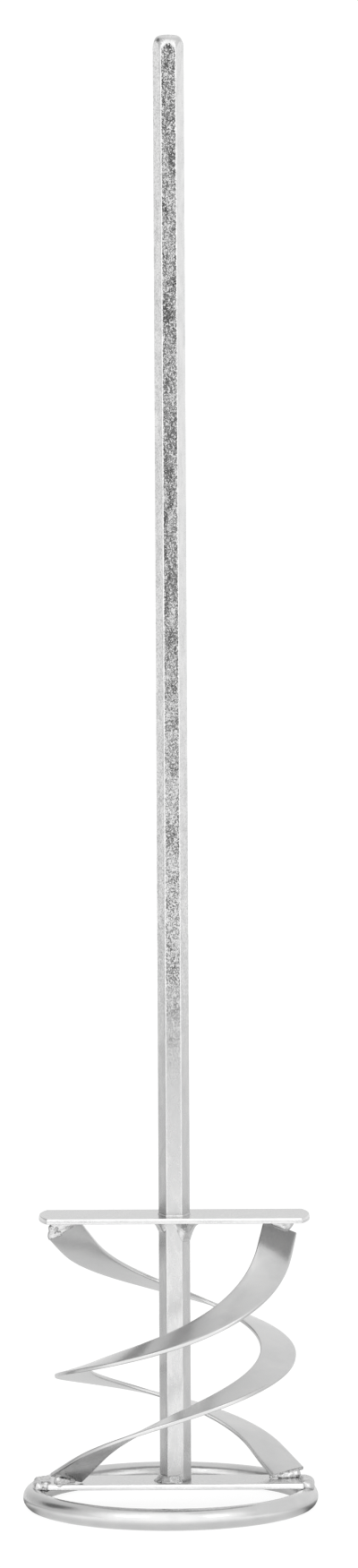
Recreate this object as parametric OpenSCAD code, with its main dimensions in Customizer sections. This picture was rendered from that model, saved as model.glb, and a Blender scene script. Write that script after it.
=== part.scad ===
// Mortar mixing paddle: a hexagon shank on a welded head of two flat bars, two helical blades and a
// round ring. Millimetres, +Z up the shank, origin on the shank's axis in the plane the ring stands on.

/* [Shank] */
// Width of the hexagon bar across its flats
shank_af = 10; // [8:1:14]
// Height of the shank's end above the floor
total_height = 538; // [300:1:700]
// Height of the chamfer at the shank's end
shank_chamfer_h = 3.2; // [0.5:0.1:5]
// Diameter of the flat left at the shank's end
shank_end_d = 6.9; // [4:0.1:7.4]
// Radius along the hexagon's six edges
shank_edge_r = 0.8; // [0.2:0.1:1.2]

/* [Ring] */
// Diameter of the ring's round rod
ring_rod_d = 8; // [5:0.5:12]
// Diameter of the circle that the rod's centre follows
ring_pitch_d = 98.5; // [90:0.5:140]
// How far the ring is welded off the shank's axis, towards the left
ring_offset = 1.8; // [0:0.1:3]

/* [Bars] */
// Width of both flat bars
bar_w = 20; // [16:0.5:26]
// Thickness of both flat bars
bar_t = 2; // [1.5:0.1:4]
// How much less than the ring's radius the lower bar reaches from the shank's axis
lower_bar_inset = 2.95; // [1:0.05:4]
// Radius of the lower bar's corners
lower_bar_corner_r = 1; // [0.5:0.1:3]
// Length of the upper bar, over its rounded ends
upper_bar_len = 97.6; // [88:0.1:130]
// Height of the arc at each end of the upper bar
upper_bar_end_h = 2.8; // [1:0.1:6]
// Height of the upper bar's underside above the lower bar's top
bar_gap = 95.2; // [80:0.1:140]
// Gap all round the shank in the upper bar's hole
shank_hole_gap = 0.15; // [0.05:0.05:0.4]

/* [Blades] */
// Width of the blades' flat strip
blade_w = 13; // [10:0.5:16]
// Thickness of the blades' flat strip
blade_t = 1.5; // [1.2:0.1:2.5]
// Gap between a blade's nearest corner and the bar that it is welded to
blade_fit_gap = 0.1; // [0.05:0.05:0.5]
// Number of short lengths that each blade is drawn with
blade_steps = 72; // [36:12:96]

/* [Blade A] */
// Direction of its top end, seen from above
blade_a_top_angle = 176; // [170:0.5:190]
// How far it turns on its way down
blade_a_turn = 345; // [320:1:380]
// Radius of its centre line
blade_a_r = 37.2; // [33:0.1:40]
// Turn over which its top end runs straight
blade_a_top_straight = 21; // [0:0.5:30]
// Turn over which its foot runs straight
blade_a_foot_straight = 22; // [0:0.5:30]
// How much steeper than the middle its top end falls
blade_a_top_ease = 0.5; // [0:0.05:2]
// How much steeper than the middle its foot falls
blade_a_foot_ease = 0.55; // [0:0.05:2]
// How short the steep stretch at its top end is
blade_a_top_power = 6; // [2:0.5:8]
// How short the steep stretch at its foot is
blade_a_foot_power = 4.5; // [2:0.5:8]
// Slope of its width, in degrees down towards the outer edge
blade_a_rake = 10.5; // [5:0.5:25]
// Rake added at its top end
blade_a_top_rake = 15.5; // [-10:0.5:20]
// Rake added at its foot
blade_a_foot_rake = -15.5; // [-35:0.5:10]

/* [Blade B] */
// Direction of its top end, seen from above
blade_b_top_angle = 0; // [-10:0.5:10]
// How far it turns on its way down
blade_b_turn = 355; // [320:1:380]
// Radius of its centre line
blade_b_r = 37; // [33:0.1:40]
// Turn over which its top end runs straight
blade_b_top_straight = 13.5; // [0:0.5:30]
// Turn over which its foot runs straight
blade_b_foot_straight = 23.5; // [0:0.5:30]
// How much steeper than the middle its top end falls
blade_b_top_ease = 0.4; // [0:0.05:2]
// How much steeper than the middle its foot falls
blade_b_foot_ease = 0.15; // [0:0.05:2]
// How short the steep stretch at its top end is
blade_b_top_power = 6.5; // [2:0.5:8]
// How short the steep stretch at its foot is
blade_b_foot_power = 6; // [2:0.5:8]
// Slope of its width, in degrees down towards the outer edge
blade_b_rake = 12.5; // [5:0.5:25]
// Rake added at its top end
blade_b_top_rake = 10; // [-10:0.5:20]
// Rake added at its foot
blade_b_foot_rake = -14; // [-35:0.5:10]

/* [Welds] */
// How far the left weld under the upper bar reaches out along it from the shank
shank_weld_left_out = 3; // [1.5:0.1:5]
// How far the right weld under the upper bar reaches out along it from the shank
shank_weld_right_out = 3.8; // [1.5:0.1:5]
// How far the left weld under the upper bar reaches down the shank
shank_weld_left_down = 4.2; // [2:0.1:9]
// How far the right weld under the upper bar reaches down the shank
shank_weld_right_down = 7.5; // [2:0.1:9]
// Leg of the seal weld on top of the upper bar
seal_weld_leg = 0.7; // [0.4:0.1:2]
// Leg of the weld at the shank's foot
foot_weld_leg = 2.2; // [1:0.1:3]
// How far the beads at the blades' ends overlap the faces that they join
blade_bead_overlap = 0.6; // [0.3:0.1:1.2]
// How far the beads at the blades' ends stop short of the strip's inner edge
blade_bead_inset = 4; // [2:0.5:6]
// How far the same beads stop short of the strip's outer edge
blade_bead_outset = 1.2; // [0:0.1:2]
// Greatest width of the same beads along the bar's width
blade_bead_w = 4; // [3:0.1:6]
// Radius of the bead over each end of the lower bar
bar_end_bead_r = 1.8; // [1.2:0.1:2.5]
// Radius of the same bead where it runs onto the ring
ring_bead_r = 2.5; // [1.5:0.1:3.5]
// Length of that bead across the bar
ring_bead_len = 15; // [8:0.5:18]

/* [Hidden] */
$fn = 64;

zinc = [0.80, 0.81, 0.82];
weld_grey = [0.68, 0.69, 0.70];

rod_r = ring_rod_d / 2;
ring_r = ring_pitch_d / 2;
lower_bar_z = ring_rod_d;
lower_top_z = lower_bar_z + bar_t;
upper_bar_z = lower_top_z + bar_gap;
upper_top_z = upper_bar_z + bar_t;
lower_bar_len = 2 * (ring_r - lower_bar_inset);
shank_corner_r = shank_af / 2 / cos(30);
edge_steps = 4;

blade_a_path = [blade_a_top_angle, blade_a_turn, blade_a_r, blade_a_top_straight, blade_a_foot_straight,
                blade_a_top_ease, blade_a_foot_ease, blade_a_top_power, blade_a_foot_power,
                blade_a_rake, blade_a_top_rake, blade_a_foot_rake];
blade_b_path = [blade_b_top_angle, blade_b_turn, blade_b_r, blade_b_top_straight, blade_b_foot_straight,
                blade_b_top_ease, blade_b_foot_ease, blade_b_top_power, blade_b_foot_power,
                blade_b_rake, blade_b_top_rake, blade_b_foot_rake];

// The corners of a convex outline, each rounded to radius r: one arc of points per corner
function unit(v) = v / norm(v);
function rounded(corners, r) = [
    for (i = [0:len(corners) - 1])
        let (
            here = corners[i],
            back = unit(corners[(i + len(corners) - 1) % len(corners)] - here),
            on = unit(corners[(i + 1) % len(corners)] - here),
            half = acos(back * on) / 2,
            centre = here + unit(back + on) * r / sin(half),
            start = atan2(-on[0], on[1]) - 2 * (90 - half)
        )
        for (k = [0:edge_steps]) centre + r * [cos(start + k / edge_steps * 2 * (90 - half)),
                                               sin(start + k / edge_steps * 2 * (90 - half))]
];
function hexagon(af) = [for (i = [0:5]) af / 2 / cos(30) * [cos(60 * i), sin(60 * i)]];
function rectangle(l, w) = [[-l / 2, -w / 2], [l / 2, -w / 2], [l / 2, w / 2], [-l / 2, w / 2]];

module hex_shank() {
    end_slope = shank_chamfer_h / (shank_corner_r - shank_end_d / 2);
    color(zinc) translate([0, 0, lower_top_z]) intersection() {
        linear_extrude(total_height - lower_top_z) polygon(rounded(hexagon(shank_af), shank_edge_r));
        rotate_extrude() polygon([
            [0, 0], [shank_corner_r + 1, 0],
            [shank_corner_r + 1, total_height - lower_top_z - shank_chamfer_h - end_slope],
            [shank_end_d / 2, total_height - lower_top_z], [0, total_height - lower_top_z]]);
    }
}

module bar_end(side) {
    arc_r = (pow(upper_bar_end_h, 2) + pow(bar_w / 2, 2)) / (2 * upper_bar_end_h);
    intersection() {
        translate([side * (upper_bar_len / 2 - arc_r), 0]) circle(arc_r);
        translate([side * (upper_bar_len / 2 - upper_bar_end_h), 0])
            square([2 * upper_bar_end_h + 1, bar_w], center = true);
    }
}

module upper_bar() {
    color(zinc) translate([0, 0, upper_bar_z]) linear_extrude(bar_t) difference() {
        union() {
            square([upper_bar_len - 2 * upper_bar_end_h, bar_w], center = true);
            for (side = [-1, 1]) bar_end(side);
        }
        polygon(rounded(hexagon(shank_af + 2 * shank_hole_gap), shank_edge_r));
    }
}

module lower_bar() {
    color(zinc) translate([0, 0, lower_bar_z]) linear_extrude(bar_t)
        polygon(rounded(rectangle(lower_bar_len, bar_w), lower_bar_corner_r));
}

module ring() {
    color(zinc) translate([-ring_offset, 0, rod_r]) rotate_extrude() translate([ring_r, 0]) circle(rod_r);
}

// A blade's centre line falls clockwise, seen from above, on a circle whose ends run straight on.
// u runs from 0 at the upper bar to 1 at the lower bar.
function blade_angle(path, u) = path[0] - path[1] * u;
function blade_radius(path, u) =
    path[2] / cos(max(0, path[3] - path[1] * u) + max(0, path[4] - path[1] * (1 - u)));
function blade_ease(path, u) =
    (u + path[5] * (1 - pow(1 - u, path[7])) + path[6] * pow(u, path[8])) / (1 + path[5] + path[6]);
function blade_rake(path, u) = path[9] + path[10] * pow(1 - u, 2) + path[11] * pow(u, 2);
function blade_centre(path, u, fall) = let (a = blade_angle(path, u), r = blade_radius(path, u))
    [r * cos(a), r * sin(a), -fall * blade_ease(path, u)];

// The directions across a blade's width, outwards, and through its thickness, upwards
function blade_axes(path, u, fall) = let (
        step = 0.001,
        along = unit(blade_centre(path, min(1, u + step), fall) - blade_centre(path, max(0, u - step), fall)),
        a = blade_angle(path, u),
        radial = [cos(a), sin(a), 0],
        out = unit(radial - (radial * along) * along),
        up = cross(along, out),
        rake = blade_rake(path, u)
    ) [cos(rake) * out - sin(rake) * up, cos(rake) * up + sin(rake) * out];

// How far a blade's end stands above or below the centre of that end
function blade_reach(path, u, fall) =
    let (axes = blade_axes(path, u, fall)) abs(axes[0][2]) * blade_w / 2 + abs(axes[1][2]) * blade_t / 2;
function blade_fall(path, fall) =
    bar_gap - 2 * blade_fit_gap - blade_reach(path, 0, fall) - blade_reach(path, 1, fall);
function blade_corners(path, u) = let (
        fall = blade_fall(path, blade_fall(path, bar_gap)),
        top = upper_bar_z - blade_fit_gap - blade_reach(path, 0, fall),
        axes = blade_axes(path, u, fall),
        centre = blade_centre(path, u, fall) + [0, 0, top],
        w = axes[0] * blade_w / 2,
        t = axes[1] * blade_t / 2
    ) [centre + w + t, centre + w - t, centre - w - t, centre - w + t];

module blade(path, first = 0, last = blade_steps) {
    count = last - first;
    points = [for (i = [first:last]) each blade_corners(path, i / blade_steps)];
    sides = [for (i = [0:count - 1], k = [0:3])
        let (a = 4 * i + k, b = 4 * i + (k + 1) % 4) each [[a, b, b + 4], [a, b + 4, a + 4]]];
    ends = [[2, 1, 0], [3, 2, 0], [4 * count, 4 * count + 1, 4 * count + 2], [4 * count, 4 * count + 2, 4 * count + 3]];
    polyhedron(points, concat(sides, ends));
}

module blade_a() { color(zinc) blade(blade_a_path); }
module blade_b() { color(zinc) blade(blade_b_path); }

// A weld fillet round part of the shank, on a bar's face at height z; up is 1 above the bar and -1 below it
module shank_fillet(z, up, out, tall, from, sweep) {
    translate([0, 0, z]) rotate([0, 0, from]) rotate_extrude(angle = sweep) polygon([
        [0, 0], [shank_corner_r + out, 0], [shank_corner_r + out / 2, up * tall * 0.4],
        [shank_corner_r, up * tall], [0, up * tall]]);
}

module shank_weld_left() {
    color(weld_grey) difference() {
        shank_fillet(upper_bar_z, -1, shank_weld_left_out, shank_weld_left_down, 145, 98);
        hex_shank();
    }
}

module shank_weld_right() {
    color(weld_grey) difference() {
        shank_fillet(upper_bar_z, -1, shank_weld_right_out, shank_weld_right_down, -96, 136);
        hex_shank();
    }
}

module shank_seal_weld() {
    color(weld_grey) difference() {
        shank_fillet(upper_top_z, 1, seal_weld_leg, seal_weld_leg, 0, 360);
        hex_shank();
    }
}

module shank_foot_weld() {
    color(weld_grey) difference() {
        shank_fillet(lower_top_z, 1, foot_weld_leg, foot_weld_leg, 185, 105);
        hex_shank();
    }
}

function halfway(p, z) = [p[0], p[1], (p[2] + z) / 2];

// A bead that tapers in the wedge between a blade's square end and the bar face at height z
module blade_bead(path, u, z) {
    c = blade_corners(path, u);
    outer = (c[0] + c[1]) / 2;
    inner = (c[2] + c[3]) / 2;
    inwards = unit(inner - outer);
    short = inner - blade_bead_inset * inwards;
    outer_r = max(abs(outer[2] - z), blade_t) / 2 + blade_bead_overlap;
    short_r = max(abs(short[2] - z), blade_t) / 2 + blade_bead_overlap;
    hull() {
        blade_bead_end(halfway(outer, z) + (outer_r + blade_bead_outset) * inwards, outer_r);
        blade_bead_end(halfway(short, z), short_r);
    }
}

// One end of that bead, flattened across the bar
module blade_bead_end(at, r) {
    translate(at) scale([1, min(1, blade_bead_w / 2 / r), 1]) sphere(r, $fn = 24);
}

module blade_top_weld(path) {
    color(weld_grey) difference() {
        blade_bead(path, 0, upper_bar_z);
        translate([-upper_bar_len, -upper_bar_len, upper_bar_z]) cube(2 * upper_bar_len);
        blade(path, 0, blade_steps / 6);
    }
}

// The bead that bridges from one end of the lower bar onto the ring
module ring_bead(side) {
    module row(x, z, r) {
        for (end = [-1, 1]) translate([x, end * (ring_bead_len / 2 - r), z]) sphere(r, $fn = 24);
    }
    hull() {
        row(side * lower_bar_len / 2, lower_bar_z + bar_t / 2, bar_end_bead_r);
        row(side * ring_r - ring_offset, lower_bar_z, ring_bead_r);
    }
}

module blade_foot_weld(path) {
    color(weld_grey) difference() {
        blade_bead(path, 1, lower_top_z);
        lower_bar();
        ring();
        for (side = [-1, 1]) ring_bead(side);
        blade(path, blade_steps * 5 / 6, blade_steps);
    }
}

module ring_weld(side, path) {
    color(weld_grey) difference() {
        ring_bead(side);
        lower_bar();
        ring();
        blade(path, blade_steps * 5 / 6, blade_steps);
    }
}

module blade_a_top_weld() blade_top_weld(blade_a_path);
module blade_b_top_weld() blade_top_weld(blade_b_path);
module blade_a_foot_weld() blade_foot_weld(blade_a_path);
module blade_b_foot_weld() blade_foot_weld(blade_b_path);
module ring_weld_left() ring_weld(-1, blade_a_path);
module ring_weld_right() ring_weld(1, blade_b_path);

hex_shank();
upper_bar();
lower_bar();
blade_a();
blade_b();
ring();
shank_weld_left();
shank_weld_right();
shank_seal_weld();
shank_foot_weld();
blade_a_top_weld();
blade_b_top_weld();
blade_a_foot_weld();
blade_b_foot_weld();
ring_weld_left();
ring_weld_right();
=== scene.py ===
import math
from collections import namedtuple

import bmesh
import bpy
from mathutils import Matrix, Vector, noise


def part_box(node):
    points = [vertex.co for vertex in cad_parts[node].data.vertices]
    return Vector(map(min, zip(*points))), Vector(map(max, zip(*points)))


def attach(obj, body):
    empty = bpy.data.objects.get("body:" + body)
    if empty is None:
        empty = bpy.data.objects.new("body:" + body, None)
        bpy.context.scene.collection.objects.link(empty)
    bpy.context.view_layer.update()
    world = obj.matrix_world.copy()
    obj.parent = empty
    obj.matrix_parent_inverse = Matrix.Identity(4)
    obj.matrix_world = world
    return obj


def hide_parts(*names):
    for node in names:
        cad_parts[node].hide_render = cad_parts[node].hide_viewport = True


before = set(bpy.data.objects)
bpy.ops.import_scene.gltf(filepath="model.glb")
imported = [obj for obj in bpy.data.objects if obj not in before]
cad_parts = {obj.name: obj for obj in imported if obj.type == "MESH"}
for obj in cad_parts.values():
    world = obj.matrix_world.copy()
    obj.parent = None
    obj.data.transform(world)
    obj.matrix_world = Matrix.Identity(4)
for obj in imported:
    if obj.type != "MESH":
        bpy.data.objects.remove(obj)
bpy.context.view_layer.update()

MM = 0.001

# Sizes of the CAD model, in millimetres
SHANK_AF = 10
SHANK_EDGE_R = 0.8
SHANK_END_R = 3.45
CHAMFER_H = 3.2
RING_R = 98.5 / 2
ROD_R = 4
RING_OFFSET = 1.8
BAR_W = 20
BAR_T = 2
UPPER_BAR_LEN = 97.6
UPPER_BAR_END_H = 2.8
LOWER_BAR_CORNER_R = 1
BAR_GAP = 95.2
HOLE_GAP = 0.15
BLADE_W = 13
BLADE_T = 1.5
BLADE_GAP = 0.1

# A blade's path, from its top end to its foot: angles in degrees about the shank, and how its fall eases
Path = namedtuple(
    "Path",
    "start turn r top_straight foot_straight top_ease foot_ease top_power foot_power rake top_rake foot_rake",
)
BLADE_A = Path(176, 345, 37.2, 21, 22, 0.5, 0.55, 6, 4.5, 10.5, 15.5, -15.5)
BLADE_B = Path(0, 355, 37, 13.5, 23.5, 0.4, 0.15, 6.5, 6, 12.5, 10, -14)

# How much of its colour zinc keeps on the undersides of the bars: painted shade on faces that look down
UNDERSIDE_SHADE_KEEP = 0.75

total_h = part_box("hex_shank")[1].z / MM
lower_bar_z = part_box("lower_bar")[0].z / MM
lower_top_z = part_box("lower_bar")[1].z / MM
upper_bar_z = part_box("upper_bar")[0].z / MM
lower_bar_len = (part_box("lower_bar")[1].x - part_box("lower_bar")[0].x) / MM


# ---------------------------------------------------------------- materials


class Nodes:
    """A material's node tree, with short ways to add and link nodes."""

    def __init__(self, name):
        self.material = bpy.data.materials.new(name)
        self.material.use_nodes = True
        self.tree = self.material.node_tree
        self.tree.nodes.clear()
        self.shader = self.add("ShaderNodeBsdfPrincipled")
        out = self.add("ShaderNodeOutputMaterial")
        self.link(self.shader.outputs[0], out.inputs["Surface"])
        self.place = self.add("ShaderNodeTexCoord").outputs["Object"]

    def add(self, kind, **values):
        node = self.tree.nodes.new(kind)
        for key, value in values.items():
            setattr(node, key, value)
        return node

    def link(self, a, b):
        self.tree.links.new(a, b)

    def scaled(self, stretch):
        """Object coordinates, with each axis divided by a length in millimetres."""
        node = self.add("ShaderNodeMapping")
        node.inputs["Scale"].default_value = [1 / (s * MM) for s in stretch]
        self.link(self.place, node.inputs["Vector"])
        return node.outputs["Vector"]

    def noise(self, stretch, detail=2.0, rough=0.5, warp=0.0):
        """Soft noise between 0 and 1, with lumps of the given size in millimetres along each axis."""
        node = self.add("ShaderNodeTexNoise")
        node.inputs["Scale"].default_value = 1
        node.inputs["Detail"].default_value = detail
        node.inputs["Roughness"].default_value = rough
        node.inputs["Distortion"].default_value = warp
        self.link(self.scaled(stretch), node.inputs["Vector"])
        return node.outputs["Fac"]

    def facets(self, stretch, amount, under):
        """The normal, tilted a little in a different direction in every small cell."""
        cell = self.add("ShaderNodeTexVoronoi")
        cell.inputs["Scale"].default_value = 1
        self.link(self.scaled(stretch), cell.inputs["Vector"])
        middle = self.add("ShaderNodeVectorMath", operation="SUBTRACT")
        middle.inputs[1].default_value = (0.5, 0.5, 0.5)
        self.link(cell.outputs["Color"], middle.inputs[0])
        tilt = self.add("ShaderNodeVectorMath", operation="SCALE")
        self.link(middle.outputs["Vector"], tilt.inputs[0])
        self.link(amount, tilt.inputs["Scale"])
        total = self.add("ShaderNodeVectorMath", operation="ADD")
        self.link(under, total.inputs[0])
        self.link(tilt.outputs["Vector"], total.inputs[1])
        unit = self.add("ShaderNodeVectorMath", operation="NORMALIZE")
        self.link(total.outputs["Vector"], unit.inputs[0])
        return unit.outputs["Vector"]

    def split(self, vector):
        """The X, Y and Z outputs of a vector."""
        node = self.add("ShaderNodeSeparateXYZ")
        self.link(vector, node.inputs[0])
        return node.outputs

    def facing_up(self):
        """1 on faces that look up, 0 on upright ones, -1 on faces that look down."""
        return self.split(self.add("ShaderNodeNewGeometry").outputs["True Normal"])["Z"]

    def upright(self):
        """1 on faces that stand upright, 0 on level ones."""
        return self.ranged(self.maths("ABSOLUTE", self.facing_up(), 0), 0.5, 0.8, 1, 0)

    def shaded_below(self, colour, keep):
        """The colour, multiplied by keep on faces that look down."""
        darker = self.add("ShaderNodeMix", data_type="RGBA", blend_type="MULTIPLY")
        darker.inputs["B"].default_value = (keep, keep, keep, 1)
        self.link(self.ranged(self.facing_up(), -0.9, -0.6, 1, 0), darker.inputs["Factor"])
        self.link(colour, darker.inputs["A"])
        return darker.outputs["Result"]

    def height(self, low, high, to_low, to_high):
        """A value that changes between two heights, in millimetres."""
        return self.ranged(self.split(self.place)["Z"], low * MM, high * MM, to_low, to_high)

    def ranged(self, value, a, b, to_a, to_b, fade="LINEAR"):
        """A value that goes from to_a to to_b while another goes from a to b."""
        node = self.add("ShaderNodeMapRange", interpolation_type=fade)
        node.inputs["From Min"].default_value = a
        node.inputs["From Max"].default_value = b
        node.inputs["To Min"].default_value = to_a
        node.inputs["To Max"].default_value = to_b
        self.link(value, node.inputs["Value"])
        return node.outputs["Result"]

    def maths(self, operation, a, b):
        """The result of an operation on two values, each a number or a socket."""
        node = self.add("ShaderNodeMath", operation=operation)
        for socket, value in zip(node.inputs, (a, b)):
            if isinstance(value, (int, float)):
                socket.default_value = value
            else:
                self.link(value, socket)
        return node.outputs[0]

    def colours(self, value, stops):
        """A ramp of colours, each at a value."""
        node = self.add("ShaderNodeValToRGB")
        ramp = node.color_ramp.elements
        while len(ramp) < len(stops):
            ramp.new(0.5)
        for element, (at, tone) in zip(ramp, stops):
            element.position = at
            element.color = (*tone, 1)
        self.link(value, node.inputs["Fac"])
        return node.outputs["Color"]

    def bump(self, height, depth_mm, under=None):
        """The normal of a relief, on top of another normal if one is given."""
        node = self.add("ShaderNodeBump")
        node.inputs["Strength"].default_value = 1
        node.inputs["Distance"].default_value = depth_mm * MM
        self.link(height, node.inputs["Height"])
        if under is not None:
            self.link(under, node.inputs["Normal"])
        return node.outputs["Normal"]


def grey(value, warm=0.0):
    """A grey, or a slightly warm one."""
    return (value * (1 + warm), value, value * (1 - warm))


def zinc(name, tone, rough, patch, grain, wave, crystal, edge_highlight=0.0, edge_rough=0.0):
    """Zinc plate on steel: soft tone patches, fine grain, long waves, and, where an edge amount is given,
    painted shade on faces that look down and a painted highlight, strongest low down, on upright edges, which
    are also duller.

    patch is the patches' size, and grain and wave are a size and a depth, all in millimetres.
    """
    n = Nodes(name)
    n.shader.inputs["Metallic"].default_value = 1
    patches = n.noise(patch, 3, 0.55, 0.4)
    colour = n.colours(patches, ((0.3, grey(tone[0])), (0.5, grey(tone[1])), (0.7, grey(tone[2], 0.004))))
    grain_size, grain_depth = grain
    wave_size, wave_depth = wave
    fine = n.noise((grain_size,) * 3, 3, 0.6)
    mixed = n.maths("ADD", n.maths("MULTIPLY", patches, 0.6), n.maths("MULTIPLY", fine, 0.4))
    dull = n.ranged(mixed, 0.3, 0.7, rough[0], rough[1])
    if edge_highlight:
        # painted shade: the colour darkened on faces that look down
        colour = n.shaded_below(colour, UNDERSIDE_SHADE_KEEP)
        # painted highlight: a paler colour on upright edges, strongest low down
        edge = n.maths("MULTIPLY", n.upright(), n.height(20, 90, 1, 0.35))
        painted_highlight = n.add("ShaderNodeMix", data_type="RGBA", blend_type="ADD")
        painted_highlight.inputs["B"].default_value = (edge_highlight, edge_highlight, edge_highlight, 1)
        n.link(edge, painted_highlight.inputs["Factor"])
        n.link(colour, painted_highlight.inputs["A"])
        colour = painted_highlight.outputs["Result"]
        dull = n.maths("ADD", dull, n.maths("MULTIPLY", edge, edge_rough))
    n.link(colour, n.shader.inputs["Base Color"])
    n.link(dull, n.shader.inputs["Roughness"])
    long_waves = n.bump(n.noise(wave_size, 1, 0.4), wave_depth)
    grained = n.bump(fine, grain_depth, long_waves)
    tilt = n.ranged(patches, 0.3, 0.7, crystal, crystal / 2)
    n.link(n.facets((0.6, 0.6, 0.6), tilt, grained), n.shader.inputs["Normal"])
    return n.material


def shank_zinc():
    """Zinc on the hexagon bar: fine crystals, each tilted its own way, in coarser and smoother patches."""
    n = Nodes("shank_zinc")
    n.shader.inputs["Metallic"].default_value = 1
    patches = n.noise((3.2, 3.2, 9), 3, 0.6, 0.5)
    n.link(
        n.colours(patches, ((0.3, grey(0.58)), (0.5, grey(0.62)), (0.7, grey(0.66, 0.004)))),
        n.shader.inputs["Base Color"],
    )
    dull = n.maths("ADD", n.ranged(patches, 0.32, 0.66, 0.24, 0.15), n.height(150, 200, 0.08, 0))
    n.link(dull, n.shader.inputs["Roughness"])
    waves = n.bump(patches, 0.03)
    tilt = n.maths("MULTIPLY", n.ranged(patches, 0.35, 0.65, 0.26, 0.15), n.height(160, 215, 0.06, 1))
    n.link(n.facets((0.36, 0.36, 0.42), tilt, waves), n.shader.inputs["Normal"])
    return n.material


def weld_zinc():
    """Weld metal under zinc: smooth frozen folds with a few dull patches."""
    n = Nodes("weld_zinc")
    n.shader.inputs["Metallic"].default_value = 1
    folds = n.noise((1.8, 1.8, 1.8), 3, 0.55, 0.8)
    n.link(
        n.colours(folds, ((0.26, grey(0.36, 0.015)), (0.42, grey(0.53)), (0.6, grey(0.62)))),
        n.shader.inputs["Base Color"],
    )
    n.link(n.ranged(folds, 0.3, 0.7, 0.34, 0.22), n.shader.inputs["Roughness"])
    tilt = n.ranged(folds, 0.3, 0.7, 0.12, 0.04)
    n.link(n.facets((0.5, 0.5, 0.5), tilt, n.bump(folds, 0.05)), n.shader.inputs["Normal"])
    return n.material


MATERIALS = {
    "shank_zinc": shank_zinc(),
    "bar_zinc": zinc(
        "bar_zinc",
        tone=(0.59, 0.62, 0.65),
        rough=(0.22, 0.30),
        patch=(9, 9, 3),
        grain=(0.7, 0.003),
        wave=((14, 9, 9), 0.02),
        crystal=0.06,
        # a painted highlight on the bars' upright edges, and painted shade on their undersides
        edge_highlight=0.27,
        edge_rough=0.10,
    ),
    "blade_zinc": zinc(
        "blade_zinc",
        tone=(0.59, 0.62, 0.65),
        rough=(0.20, 0.27),
        patch=(12, 12, 7),
        grain=(0.9, 0.002),
        wave=((10, 10, 10), 0.015),
        crystal=0.02,
    ),
    "ring_zinc": zinc(
        "ring_zinc",
        tone=(0.61, 0.64, 0.67),
        rough=(0.20, 0.27),
        patch=(12, 12, 6),
        grain=(1.1, 0.002),
        wave=((9, 9, 5), 0.02),
        crystal=0.04,
    ),
    "weld_zinc": weld_zinc(),
}


# ---------------------------------------------------------------- mesh helpers


def place(name, mesh, slot, node):
    """Makes the mesh a piece of the object that stands for one CAD node."""
    mesh.shade_smooth()
    mesh.materials.clear()
    mesh.materials.append(MATERIALS[slot])
    obj = bpy.data.objects.new(name, mesh)
    bpy.context.scene.collection.objects.link(obj)
    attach(obj, "root")
    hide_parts(node)
    return obj


def mesh_of(name, points, faces):
    """A mesh from points in millimetres."""
    mesh = bpy.data.meshes.new(name)
    mesh.from_pydata([tuple(c * MM for c in p) for p in points], [], faces)
    mesh.update()
    return mesh


def weighted(obj):
    """Keeps the big flat faces flat where they meet their small rounded edges."""
    modifier = obj.modifiers.new("flat_faces", "WEIGHTED_NORMAL")
    modifier.keep_sharp = True
    modifier.weight = 100


def skin(rings, closed=False):
    """Faces that join rings of equally many points, with end caps unless the rings close on themselves."""
    count = len(rings[0])
    faces = []
    for i in range(len(rings) if closed else len(rings) - 1):
        a = i * count
        b = (i + 1) % len(rings) * count
        for k in range(count):
            m = (k + 1) % count
            faces.append((a + k, a + m, b + m, b + k))
    if not closed:
        faces.append(tuple(reversed(range(count))))
        faces.append(tuple(range((len(rings) - 1) * count, len(rings) * count)))
    return faces


def rounded(corners, r, steps):
    """A convex outline, counter-clockwise, with each corner rounded to radius r."""
    points = []
    for i, here in enumerate(corners):
        here = Vector(here)
        back = (Vector(corners[i - 1]) - here).normalized()
        on = (Vector(corners[(i + 1) % len(corners)]) - here).normalized()
        half = math.acos(back.dot(on)) / 2
        centre = here + (back + on).normalized() * r / math.sin(half)
        sweep = math.pi - 2 * half
        start = math.atan2(-on.x, on.y) - sweep
        for k in range(steps + 1):
            a = start + k / steps * sweep
            points.append(centre + Vector((math.cos(a), math.sin(a))) * r)
    return points


def hexagon(across_flats):
    """A hexagon's corners, the first of them on the X axis."""
    corner = across_flats / 2 / math.cos(math.radians(30))
    turns = [math.radians(60 * i) for i in range(6)]
    return [(corner * math.cos(a), corner * math.sin(a)) for a in turns]


def split_long(points, longest):
    """The outline with extra points along its long sides."""
    fine = []
    for i, p in enumerate(points):
        q = points[(i + 1) % len(points)]
        parts = max(1, math.ceil((q - p).length / longest))
        fine += [p.lerp(q, k / parts) for k in range(parts)]
    return fine


def relief(point, size, seed=0.0):
    """Smooth noise between about -1 and 1 at a point in millimetres."""
    return noise.noise(Vector(point) / size + Vector((seed, 2 * seed, 3 * seed)))


# ---------------------------------------------------------------- shank


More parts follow.
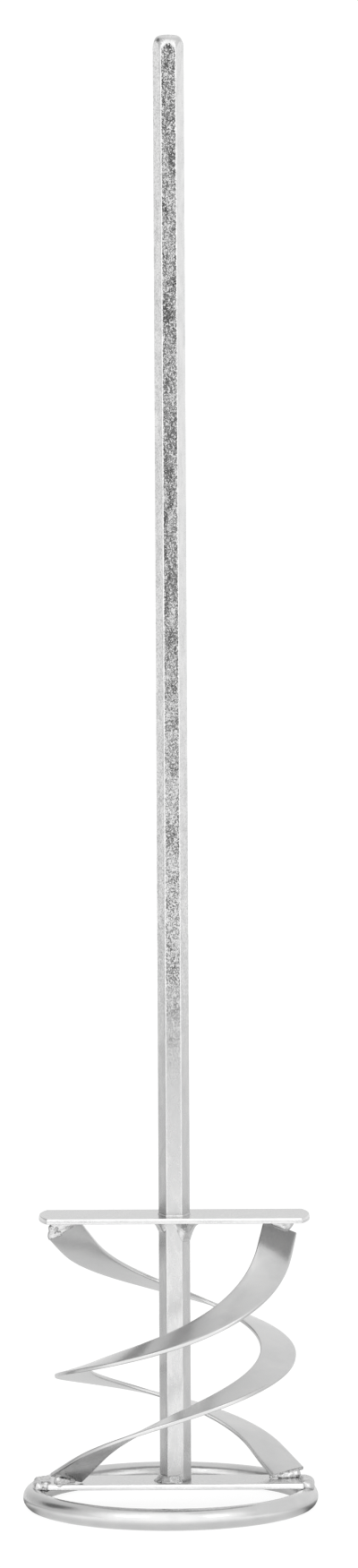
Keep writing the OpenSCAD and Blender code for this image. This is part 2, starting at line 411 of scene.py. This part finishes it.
def shank():
    """The hexagon bar as rings cut off by a round limit, which falls towards the domed drive end."""
    outline = split_long(rounded(hexagon(SHANK_AF), SHANK_EDGE_R, 6), 0.55)
    widest = SHANK_AF / 2 / math.cos(math.radians(30)) + 0.15
    # taller than the chamfer, since it starts softly
    dome_h = CHAMFER_H * 1.08 + 1.5
    dome_z = total_h - dome_h
    turn_from = 12
    turn_to = 78
    no_limit = 9.0
    body_steps = 300
    dome_steps = 40
    cap_steps = 6
    soft = 0.12
    limits = []
    for i in range(body_steps + 1):
        limits.append((no_limit, lower_top_z + (dome_z - lower_top_z) * i / body_steps))
    for i in range(1, dome_steps + 1):
        t = i / dome_steps
        turned = 1 - math.cos(math.radians(turn_from + (turn_to - turn_from) * t))
        out = widest - (widest - SHANK_END_R) * turned / (1 - math.cos(math.radians(turn_to)))
        limits.append((out, dome_z + dome_h * math.sin(t * math.pi / 2) ** 0.96))
    for i in range(1, cap_steps):
        limits.append((SHANK_END_R * (1 - i / cap_steps), total_h))
    rings = []
    for limit, z in limits:
        ring = []
        for p in outline:
            r = p.length
            h = max(0.0, min(1.0, 0.5 + 0.5 * (limit - r) / soft))
            reach = limit * (1 - h) + r * h - soft * h * (1 - h)
            point = p * (min(reach, r) / r)
            if z > lower_top_z + 1 and limit > SHANK_END_R:
                at = (point.x, point.y, z)
                wave = 0.025 * relief(at, 5.5) + 0.012 * relief(at, 1.9, 7)
                point = point * (1 - 0.03 / r + wave / r)
            ring.append((point.x, point.y, z))
        rings.append(ring)
    points = [p for ring in rings for p in ring]
    return place("shank_hexagon_bar", mesh_of("shank", points, skin(rings)), "shank_zinc", "hex_shank")


# ---------------------------------------------------------------- bars


def bar_outline():
    """The upper bar's outline: straight sides and a shallow arc at each end."""
    arc_r = (UPPER_BAR_END_H**2 + (BAR_W / 2) ** 2) / (2 * UPPER_BAR_END_H)
    half = math.asin(BAR_W / 2 / arc_r)
    steps = 24
    points = []
    for side in (1, -1):
        centre = Vector((side * (UPPER_BAR_LEN / 2 - arc_r), 0))
        for k in range(steps + 1):
            a = half * (2 * k / steps - 1)
            points.append(centre + Vector((side * math.cos(a), side * math.sin(a))) * arc_r)
    return points


def inset(points, distance):
    """A convex outline moved inwards by a small distance."""
    moved = []
    for i, p in enumerate(points):
        q = points[i - 1]
        r = points[(i + 1) % len(points)]
        before = (p - q).normalized()
        after = (r - p).normalized()
        tangent = (before + after).normalized()
        moved.append(p + Vector((-tangent.y, tangent.x)) * distance / max(0.4, tangent.dot(after)))
    return moved


def plate(name, outline, hole, z, node):
    """A sheared flat bar: small lower edges, and upper edges that roll over."""
    low_r = 0.25
    roll_in = 0.35
    roll_h = 1.4
    low_steps = 4
    roll_steps = 10
    profile = []
    for k in range(low_steps + 1):
        a = math.pi / 2 * k / low_steps
        profile.append((low_r * (1 - math.sin(a)), low_r * (1 - math.cos(a))))
    for k in range(roll_steps + 1):
        a = math.pi / 2 * k / roll_steps
        profile.append((roll_in * (1 - math.cos(a)), BAR_T - roll_h + roll_h * math.sin(a)))
    loops = [(inset(outline, depth), z + h) for depth, h in profile]
    bm = bmesh.new()
    rings = [[bm.verts.new((p.x * MM, p.y * MM, h * MM)) for p in loop] for loop, h in loops]
    for low, high in zip(rings, rings[1:]):
        for k in range(len(low)):
            m = (k + 1) % len(low)
            bm.faces.new((low[k], low[m], high[m], high[k]))
    walls = []
    if hole:
        walls = [[bm.verts.new((p.x * MM, p.y * MM, h * MM)) for p in hole] for h in (z, z + BAR_T)]
        for k in range(len(hole)):
            m = (k + 1) % len(hole)
            bm.faces.new((walls[0][m], walls[0][k], walls[1][k], walls[1][m]))
    for which in (0, -1):
        edges = []
        for ring in [rings[which]] + ([walls[which]] if hole else []):
            for k in range(len(ring)):
                pair = (ring[k], ring[(k + 1) % len(ring)])
                edges.append(bm.edges.get(pair) or bm.edges.new(pair))
        bmesh.ops.triangle_fill(bm, use_beauty=True, use_dissolve=False, edges=edges)
    bmesh.ops.recalc_face_normals(bm, faces=bm.faces)
    mesh = bpy.data.meshes.new(name)
    bm.to_mesh(mesh)
    bm.free()
    obj = place(name, mesh, "bar_zinc", node)
    mesh.set_sharp_from_angle(angle=math.radians(40))
    weighted(obj)
    return obj


# ---------------------------------------------------------------- blades


def blade_angle(p, u):
    """The angle about the shank, where u goes from 0 at the top end to 1 at the foot."""
    return math.radians(p.start - p.turn * u)


def blade_centre(p, u, fall):
    """The middle of the strip, from a height of 0 at its top end down to its foot."""
    a = blade_angle(p, u)
    straight = max(0, p.top_straight - p.turn * u) + max(0, p.foot_straight - p.turn * (1 - u))
    r = p.r / math.cos(math.radians(straight))
    top = p.top_ease * (1 - (1 - u) ** p.top_power)
    foot = p.foot_ease * u**p.foot_power
    ease = (u + top + foot) / (1 + p.top_ease + p.foot_ease)
    return Vector((r * math.cos(a), r * math.sin(a), -fall * ease))


def blade_axes(p, u, fall):
    """The directions across a blade's width, outwards, and through its thickness, upwards."""
    step = 0.001
    along = (blade_centre(p, min(1, u + step), fall) - blade_centre(p, max(0, u - step), fall)).normalized()
    a = blade_angle(p, u)
    radial = Vector((math.cos(a), math.sin(a), 0))
    out = (radial - radial.dot(along) * along).normalized()
    up = along.cross(out)
    rake = math.radians(p.rake + p.top_rake * (1 - u) ** 2 + p.foot_rake * u**2)
    return math.cos(rake) * out - math.sin(rake) * up, math.cos(rake) * up + math.sin(rake) * out


def blade_reach(p, u, fall):
    """How far the strip's corners stand above and below its middle."""
    w, t = blade_axes(p, u, fall)
    return abs(w.z) * BLADE_W / 2 + abs(t.z) * BLADE_T / 2


def blade_fall(p, fall):
    """How far the strip's middle falls between the bars, from a first value of the same fall."""
    return BAR_GAP - 2 * BLADE_GAP - blade_reach(p, 0, fall) - blade_reach(p, 1, fall)


def blade_span(p):
    """How far the strip's middle falls, and the height it starts from."""
    fall = blade_fall(p, blade_fall(p, BAR_GAP))
    return fall, upper_bar_z - BLADE_GAP - blade_reach(p, 0, fall)


def blade(name, p, node):
    """A flat strip with rolled edges, wound on the blade's path."""
    fall, top = blade_span(p)
    edge = 0.45
    w2 = BLADE_W / 2
    t2 = BLADE_T / 2
    section = rounded([(-w2, -t2), (w2, -t2), (w2, t2), (-w2, t2)], edge, 4)
    section = split_long(section, 1.3)
    steps = 260
    rings = []
    for i in range(steps + 1):
        u = i / steps
        w, t = blade_axes(p, u, fall)
        centre = blade_centre(p, u, fall) + Vector((0, 0, top))
        ring = []
        for s in section:
            at = centre + w * s.x + t * s.y
            dent = 0.02 * relief(at, 11, 3) - 0.02
            ring.append(at + t * (dent if s.y > 0 else -dent))
        rings.append(ring)
    points = [q for ring in rings for q in ring]
    obj = place(name, mesh_of(name, points, skin(rings)), "blade_zinc", node)
    obj.data.set_sharp_from_angle(angle=math.radians(50))
    return obj


# ---------------------------------------------------------------- ring


def ring():
    """Round rod bent to a circle by hand, so its line wanders a little."""
    rings = []
    turns = 240
    sides = 32
    for i in range(turns):
        a = 2 * math.pi * i / turns
        out = Vector((math.cos(a), math.sin(a), 0))
        wander = 0.12 * relief(out * 40, 26, 5) - 0.12
        section = []
        for k in range(sides):
            b = 2 * math.pi * k / sides
            at = out * (RING_R + wander + ROD_R * math.cos(b)) + Vector((0, 0, ROD_R + ROD_R * math.sin(b)))
            squeeze = 0.02 * relief(at, 6, 9) - 0.02
            at += (out * math.cos(b) + Vector((0, 0, math.sin(b)))) * squeeze
            section.append((at.x - RING_OFFSET, at.y, at.z))
        rings.append(section)
    points = [q for section in rings for q in section]
    return place("ring_rod", mesh_of("ring_rod", points, skin(rings, closed=True)), "ring_zinc", "ring")


# ---------------------------------------------------------------- welds

# The skin's step, the size of its fine relief, and the small dips where its relief is highest, in millimetres
VOXEL = 0.2
FINE_SIZE = 0.9
DIP_SIZE = 1.5
DIP_DEPTH = 0.5
DIP_FROM = 0.38


def blade_end(p, u):
    """The middles of the outer and inner corners of a blade's end."""
    fall, top = blade_span(p)
    centre = blade_centre(p, u, fall) + Vector((0, 0, top))
    w, t = blade_axes(p, u, fall)
    return centre + w * BLADE_W / 2, centre - w * BLADE_W / 2


def hexagon_reach(angle):
    """How far the shank's face is from its axis in a direction."""
    return SHANK_AF / 2 / math.cos(angle % (math.pi / 3) - math.pi / 6)


def off_shank(p, keep):
    """Keeps only a part of how far a point stands off the shank's faces."""
    out = math.hypot(p.x, p.y)
    face = hexagon_reach(math.atan2(p.y, p.x))
    if out <= face:
        return p
    new = (face + (out - face) * keep) / out
    return Vector((p.x * new, p.y * new, p.z))


def fillet(p, length, hollow, flare, start, width, keep, shorten):
    """Hollows a weld under the upper bar, and sinks and shortens it towards one end.

    The end is at the angle start, in degrees, and the weld is whole from width degrees further on.
    """
    turned = math.copysign(1, width) * (math.degrees(math.atan2(p.y, p.x)) - start)
    part = max(0.0, min(1.0, ((turned + 180) % 360 - 180) / abs(width)))
    part = part * part * (3 - 2 * part)
    drop = upper_bar_z - p.z
    along = max(0.0, min(1.0, drop / length))
    profile = (1 + flare * (1 - along) ** 2) * (1 - 4 * hollow * along * (1 - along)) * (1 - along**5)
    moved = off_shank(p, (keep + (1 - keep) * part) * profile)
    moved.z = upper_bar_z - drop * (shorten + (1 - shorten) * part)
    return moved


def collar(p, keep, sink):
    """Keeps the weld above the upper bar low and close to the shank, and rooted in the bar."""
    moved = off_shank(p, keep)
    moved.z -= sink
    return moved


def ring_end(p, keep, overlap=0.6, sink=0.12):
    """Draws a weld between the lower bar and the ring in towards the bar, and down into both."""
    moved = Vector(p)
    edge = lower_bar_len / 2 - overlap
    if abs(p.x) > edge:
        moved.x = math.copysign(edge + (abs(p.x) - edge) * keep, p.x)
    moved.z -= sink
    return moved


def on_shank(face, across, out, drop):
    """A point off one of the shank's faces: across it, out from it and below the upper bar."""
    a = math.radians(face)
    return Vector((math.cos(a), math.sin(a), 0)) * (SHANK_AF / 2 + out) + Vector(
        (-math.sin(a) * across, math.cos(a) * across, upper_bar_z - drop)
    )


def chain(start, end, count, r, spread, seed):
    """Small lumps in an uneven row between two points."""
    lumps = []
    for i in range(count):
        at = start.lerp(end, i / (count - 1))
        shift = noise.noise_vector(at + Vector((seed, 0, 0))) * spread
        lumps.append((at + shift, r * (1 + 0.5 * noise.noise(at * 2 + Vector((0, seed, 0))))))
    return lumps


def weld(
    name, node, lumps=(), pits=(), swell=0.1, folds=0.22, fine=0.05, seed=1, size=2.6, rounds=12, shape=None
):
    """A hand-laid bead: the CAD bead and its lumps melted into one skin, with folds and pits.

    lumps are (middle, radius) and pits (x, z, radius, depth). swell, folds and fine are depths, size is the
    folds' size, rounds is how often the skin is smoothed, and shape is a last move of each point.
    """
    bm = bmesh.new()
    bm.from_mesh(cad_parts[node].data)
    bmesh.ops.remove_doubles(bm, verts=bm.verts, dist=1e-6)
    for centre, r in lumps:
        place_at = Matrix.Translation(Vector(centre) * MM)
        bmesh.ops.create_icosphere(bm, subdivisions=3, radius=r * MM, matrix=place_at)
    core_mesh = bpy.data.meshes.new(name + "_core")
    bm.to_mesh(core_mesh)
    bm.free()
    core = bpy.data.objects.new(name + "_core", core_mesh)
    bpy.context.scene.collection.objects.link(core)
    remesh = core.modifiers.new("skin", "REMESH")
    remesh.mode = "VOXEL"
    remesh.voxel_size = VOXEL * MM
    smooth = core.modifiers.new("smooth", "SMOOTH")
    smooth.iterations = rounds
    smooth.factor = 0.5
    bpy.context.view_layer.update()
    melted = core.evaluated_get(bpy.context.evaluated_depsgraph_get())
    mesh = bpy.data.meshes.new_from_object(melted)
    bpy.data.objects.remove(core)
    moves = []
    for v in mesh.vertices:
        p = v.co / MM
        move = swell + folds * relief(p, size, seed) + fine * relief(p, FINE_SIZE, seed + 4)
        move -= DIP_DEPTH * max(0.0, relief(p, DIP_SIZE, seed + 6) - DIP_FROM)
        faces_front = v.normal.y < 0.2
        if faces_front:
            for x, z, r, depth in pits:
                move -= depth * math.exp(-((p.x - x) ** 2 + (p.z - z) ** 2) / r**2)
        moves.append(v.normal * move * MM)
    for v, move in zip(mesh.vertices, moves):
        v.co += move
        if shape:
            v.co = shape(v.co / MM) * MM
    mesh.update()
    return place(name, mesh, "weld_zinc", node)


# ---------------------------------------------------------------- the pieces

shank()
plate(
    "upper_flat_bar",
    bar_outline(),
    rounded(hexagon(SHANK_AF + 2 * HOLE_GAP), SHANK_EDGE_R, 4),
    upper_bar_z,
    "upper_bar",
)
half_len = lower_bar_len / 2
plate(
    "lower_flat_bar",
    rounded(
        [(-half_len, -BAR_W / 2), (half_len, -BAR_W / 2), (half_len, BAR_W / 2), (-half_len, BAR_W / 2)],
        LOWER_BAR_CORNER_R,
        6,
    ),
    None,
    lower_bar_z,
    "lower_bar",
)
blade("blade_a_strip", BLADE_A, "blade_a")
blade("blade_b_strip", BLADE_B, "blade_b")
ring()
a_top_outer, a_top_inner = blade_end(BLADE_A, 0)
a_foot_outer, a_foot_inner = blade_end(BLADE_A, 1)
b_foot_outer, b_foot_inner = blade_end(BLADE_B, 1)
weld(
    "bead_shank_left",
    "shank_weld_left",
    lumps=[(on_shank(-150, -0.6, -0.4, 2.6), 1.2), (on_shank(-150, 0.8, -0.5, 3.4), 1.1)],
    folds=0.12,
    seed=1,
    shape=lambda p: fillet(
        p, length=4.9, hollow=0.25, flare=0.3, start=-112, width=-26, keep=0.0, shorten=0.6
    ),
)
weld(
    "bead_shank_right",
    "shank_weld_right",
    lumps=[
        (on_shank(-30, -1.3, -0.5, 3.2), 1.2),
        (on_shank(-30, -1.4, -0.6, 5.0), 1.1),
        (on_shank(-30, -1.2, -0.6, 6.6), 1.0),
        (on_shank(-30, 0.6, -0.8, 6.2), 1.1),
        (on_shank(-30, 1.2, -0.8, 8.2), 1.0),
    ],
    pits=[(4.3, 98.8, 0.35, 0.45), (3.3, 96.7, 0.35, 0.45), (4.9, 101.0, 0.6, 0.3)],
    folds=0.16,
    size=1.8,
    seed=2,
    shape=lambda p: fillet(
        p, length=9.2, hollow=0.32, flare=0.3, start=-90, width=34, keep=-0.1, shorten=0.3
    ),
)
weld(
    "bead_shank_seal",
    "shank_seal_weld",
    swell=0.02,
    folds=0.06,
    fine=0.03,
    seed=3,
    shape=lambda p: collar(p, keep=0.3, sink=0.16),
)
weld("bead_shank_foot", "shank_foot_weld", swell=0.15, folds=0.25, rounds=36, seed=4)
weld(
    "bead_blade_a_top",
    "blade_a_top_weld",
    lumps=chain(
        a_top_outer + Vector((0.8, -0.2, 0.5)),
        a_top_outer + Vector((1.4, -0.3, 3.6)),
        count=4,
        r=1.2,
        spread=0.2,
        seed=1,
    )
    + chain(
        a_top_outer + Vector((1.6, -0.5, 0.9)),
        a_top_outer.lerp(a_top_inner, 0.75),
        count=8,
        r=1.1,
        spread=0.3,
        seed=2,
    ),
    pits=[(-42.4, 101.8, 0.45, 0.9), (-44.2, 101.9, 0.3, 0.35)],
    seed=5,
)
weld("bead_blade_b_top", "blade_b_top_weld", swell=0, folds=0.15, seed=6)
weld(
    "bead_blade_a_foot",
    "blade_a_foot_weld",
    lumps=chain(
        a_foot_outer.lerp(a_foot_inner, 0.1),
        a_foot_inner + Vector((0, -0.3, 0)),
        count=9,
        r=0.8,
        spread=0.4,
        seed=3,
    ),
    swell=-0.35,
    folds=0.15,
    seed=7,
)
weld(
    "bead_blade_b_foot",
    "blade_b_foot_weld",
    lumps=chain(
        b_foot_inner + Vector((0.2, -0.1, -0.2)),
        b_foot_outer.lerp(b_foot_inner, 0.08),
        count=12,
        r=0.6,
        spread=0.35,
        seed=4,
    ),
    swell=-0.08,
    fine=0.10,
    size=1.4,
    seed=8,
)
weld(
    "bead_ring_left",
    "ring_weld_left",
    pits=[(-48.6, 8.6, 0.4, 0.5), (-47.4, 6.9, 0.4, 0.5), (-49.6, 6.4, 0.4, 0.4)],
    folds=0.30,
    fine=0.10,
    size=1.5,
    seed=9,
    shape=lambda p: ring_end(p, keep=0.72),
)
weld(
    "bead_ring_right",
    "ring_weld_right",
    folds=0.15,
    rounds=24,
    seed=10,
    shape=lambda p: ring_end(p, keep=1),
)


# ---------------------------------------------------------------- stage


def aim(azimuth, elevation):
    """The direction at an azimuth, where 0 is towards the camera and 90 to the right, and an elevation."""
    a = math.radians(azimuth)
    e = math.radians(elevation)
    return (math.sin(a) * math.cos(e), -math.cos(a) * math.cos(e), math.sin(e))


# How much brighter the studio is than white paper, since zinc plate returns about 62% of what it reflects
STUDIO_GAIN = 1.29


class Studio(Nodes):
    """Light that depends on its direction from the object: bright in front, dimmer at the back left."""

    def toward(self, azimuth, elevation, outer, inner, amount, flat=False):
        """An amount that fades in between two angles, in degrees, from one direction."""
        source = self.place
        if flat:
            level = self.add("ShaderNodeVectorMath", operation="MULTIPLY")
            level.inputs[1].default_value = (1, 1, 0)
            self.link(source, level.inputs[0])
            source = level.outputs["Vector"]
        unit = self.add("ShaderNodeVectorMath", operation="NORMALIZE")
        self.link(source, unit.inputs[0])
        dot = self.add("ShaderNodeVectorMath", operation="DOT_PRODUCT")
        dot.inputs[1].default_value = aim(azimuth, elevation)
        self.link(unit.outputs["Vector"], dot.inputs[0])
        near = math.cos(math.radians(inner))
        far = math.cos(math.radians(outer))
        return self.ranged(dot.outputs["Value"], far, near, 0, amount, "SMOOTHSTEP")

    def beyond(self, near, far, amount):
        """An amount that fades in between two distances, in metres, from the object's axis."""
        reach = self.add("ShaderNodeVectorMath", operation="LENGTH")
        self.link(self.place, reach.inputs[0])
        return self.ranged(reach.outputs["Value"], near, far, 0, amount, "SMOOTHSTEP")

    def strip(self, half_x, half_y, amount):
        """An amount inside a soft-edged rectangle about the object's axis, in metres."""
        inside = amount
        for axis, half in (("X", half_x), ("Y", half_y)):
            away = self.maths("ABSOLUTE", self.split(self.place)[axis], 0)
            inside = self.maths("MULTIPLY", inside, self.ranged(away, half * 0.7, half * 1.3, 1, 0))
        return inside

    def total(self, base, parts):
        """A base and the parts added to it, as the studio's brightness."""
        value = base
        for part in parts:
            value = self.maths("ADD", value, part)
        return self.maths("MULTIPLY", value, STUDIO_GAIN)


def card(name, corners, material):
    """A flat stage card with the given corners, in metres."""
    mesh = bpy.data.meshes.new(name)
    mesh.from_pydata(corners, [], [tuple(range(len(corners)))])
    mesh.materials.append(material)
    obj = bpy.data.objects.new(name, mesh)
    bpy.context.scene.collection.objects.link(obj)
    return obj


def glow(name, strength):
    """The nodes of a material that only gives off light."""
    n = Studio(name)
    n.shader.inputs["Base Color"].default_value = (0, 0, 0, 1)
    n.shader.inputs["Specular IOR Level"].default_value = 0
    n.shader.inputs["Emission Color"].default_value = (1, 1, 1, 1)
    n.shader.inputs["Emission Strength"].default_value = strength
    return n


def square(half, z):
    """The corners of a level square about the axis, in metres."""
    return [(-half, -half, z), (half, -half, z), (half, half, z), (-half, half, z)]


# What the camera sees: a floor that glows, so that it stays white, and still takes a faint shadow
FLOOR_GLOW = 0.92
FLOOR_TONE = 0.14
shown = glow("floor_white", FLOOR_GLOW)
shown.shader.inputs["Base Color"].default_value = (FLOOR_TONE, FLOOR_TONE, FLOOR_TONE, 1)
floor = card("floor", square(8, 0), shown.material)
floor.visible_glossy = False

# What the metal reflects: the same floor and the end of the table, less bright than the camera sees them
mirrored = glow("floor_mirrored", 1)
in_front = mirrored.toward(0, 0, 80, 50, 0.34, flat=True)
floor_light = mirrored.total(
    0.65,
    (
        # the sweep behind and beside the table
        mirrored.beyond(0.9, 1.35, 0.29),
        # the table in front, brighter away from the object
        mirrored.toward(0, 0, 80, 50, 0.07, flat=True),
        mirrored.maths("MULTIPLY", in_front, mirrored.beyond(-0.05, 0.16, 1)),
        # a dark gap at the left
        mirrored.toward(-107, 0, 11, 4, -0.35, flat=True),
        # shade under the lower bar, and under the ring
        mirrored.strip(0.052, 0.014, -0.58),
        mirrored.beyond(0.038, 0.046, -0.22),
        mirrored.beyond(0.054, 0.068, 0.22),
    ),
)
mirrored.link(floor_light, mirrored.shader.inputs["Emission Strength"])
cards = [
    card("floor_reflection", square(8, -0.001), mirrored.material),
    card(
        "table_end",
        [(-0.30, -0.97, 0.001), (-1.3, -7, 0.001), (1.3, -7, 0.001), (0.30, -0.97, 0.001)],
        glow("table_end_dark", 0.09).material,
    ),
]
for obj in cards:
    obj.visible_camera = False
    obj.visible_diffuse = False
    obj.visible_shadow = False
    obj.visible_transmission = False

world = bpy.data.worlds.new("studio")
bpy.context.scene.world = world
world.use_nodes = True


class Sky(Studio):
    """The same kinds of light in the world's node tree, by direction."""

    def __init__(self, tree):
        self.tree = tree
        self.place = self.add("ShaderNodeTexCoord").outputs["Generated"]


sky = Sky(world.node_tree)
sky_light = sky.total(
    0.72,
    (
        # the big lamp in front
        sky.toward(0, 25, 70, 40, 0.40),
        # the dim back left, with a darker stand in it
        sky.toward(-125, 20, 55, 15, -0.20),
        sky.toward(-116, 29, 20, 8, -0.42),
        # the edge of a lamp overhead
        sky.toward(42, 66, 12, 5, -0.34),
    ),
)
sky.link(sky_light, world.node_tree.nodes["Background"].inputs["Strength"])
world.node_tree.nodes["Background"].inputs["Color"].default_value = (1, 1, 1, 1)


def softbox(name, place_at, size, watts):
    """A square lamp that faces the object."""
    light = bpy.data.lights.new(name, "AREA")
    light.shape = "SQUARE"
    light.size = size
    light.energy = watts
    obj = bpy.data.objects.new(name, light)
    obj.location = place_at
    obj.rotation_euler = (Vector((0, 0, 0.2)) - Vector(place_at)).to_track_quat("-Z", "Y").to_euler()
    bpy.context.scene.collection.objects.link(obj)


softbox("softbox_left", (-1.1, -1.6, 1.4), 0.5, 1.6)
softbox("softbox_right", (1.2, -1.5, 1.2), 0.4, 1.2)

scene = bpy.context.scene
scene.view_settings.view_transform = "Standard"

# ---------------------------------------------------------------- camera

ELEVATION = math.radians(10)
ROLL = math.radians(0.302)
FRAME_H = 0.56484
CENTRE_RIGHT = 0.001161
CENTRE_UP = 0.26045
DISTANCE = 3
level_up = Vector((0, math.sin(ELEVATION), math.cos(ELEVATION)))
level_right = Vector((1, 0, 0))
right = level_right * math.cos(ROLL) - level_up * math.sin(ROLL)
up = level_right * math.sin(ROLL) + level_up * math.cos(ROLL)
back = right.cross(up)
centre = right * CENTRE_RIGHT + up * CENTRE_UP

camera = bpy.data.cameras.new("camera")
camera.type = "ORTHO"
camera.ortho_scale = FRAME_H
camera.clip_end = 20
eye = bpy.data.objects.new("camera", camera)
turned = Matrix((right, up, back)).transposed().to_4x4()
eye.matrix_world = Matrix.Translation(centre + back * DISTANCE) @ turned
scene.collection.objects.link(eye)
scene.camera = eye
